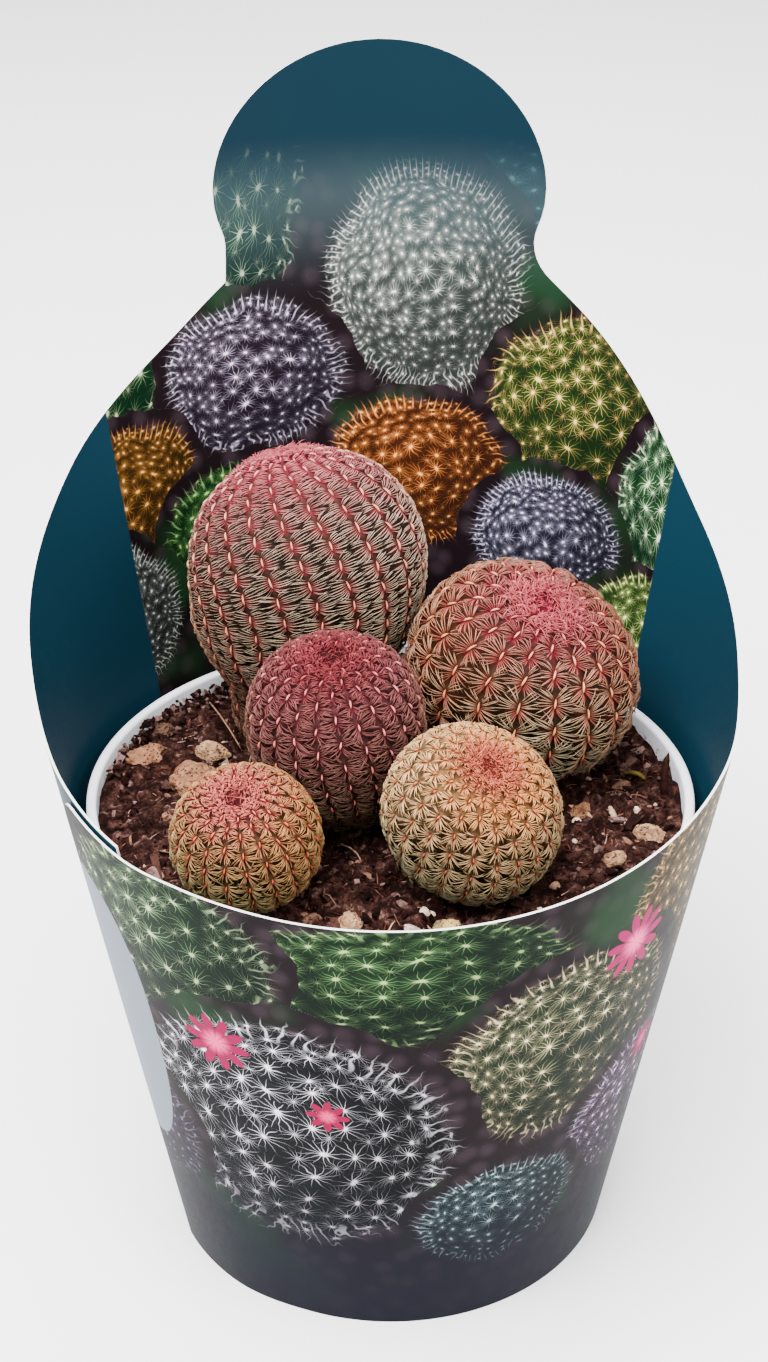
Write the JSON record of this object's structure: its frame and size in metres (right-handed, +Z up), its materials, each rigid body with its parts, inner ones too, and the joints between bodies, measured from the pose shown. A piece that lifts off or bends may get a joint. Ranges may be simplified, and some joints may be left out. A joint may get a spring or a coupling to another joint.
{
  "type": "potted rainbow hedgehog cactus",
  "caption": "Ribbed globular cactus heads with comb-like spines in a round nursery pot of peat, inside a conical printed card sleeve with a rounded header.",
  "frame": {"origin": "centre of the pot's underside, on the surface that the pot and the sleeve stand on", "axes": "+Z up, -Y to the front, where the sleeve's edge is lowest, and +X to the right as seen from the front"},
  "size_m": [0.1379, 0.1512, 0.2248],
  "materials": {
    "pot": "satin",
    "peat": "matte",
    "sleeve": "satin",
    "cactus_pink": "matte",
    "cactus_red": "matte",
    "cactus_purple": "matte",
    "cactus_tan": "matte",
    "cactus_cream": "matte",
    "stones": "matte"
  },
  "bodies": {
    "root": {"pot": "pot", "peat": "peat", "sleeve": "sleeve", "cactus_large": "cactus_pink", "cactus_right": "cactus_red", "cactus_middle": "cactus_purple", "cactus_small": "cactus_tan", "cactus_front": "cactus_cream", "stone_01": "stones", "stone_02": "stones", "stone_03": "stones", "stone_04": "stones", "stone_05": "stones", "stone_06": "stones", "stone_07": "stones", "stone_08": "stones", "stone_09": "stones", "stone_10": "stones", "stone_11": "stones", "stone_12": "stones"}
  },
  "joints": []
}
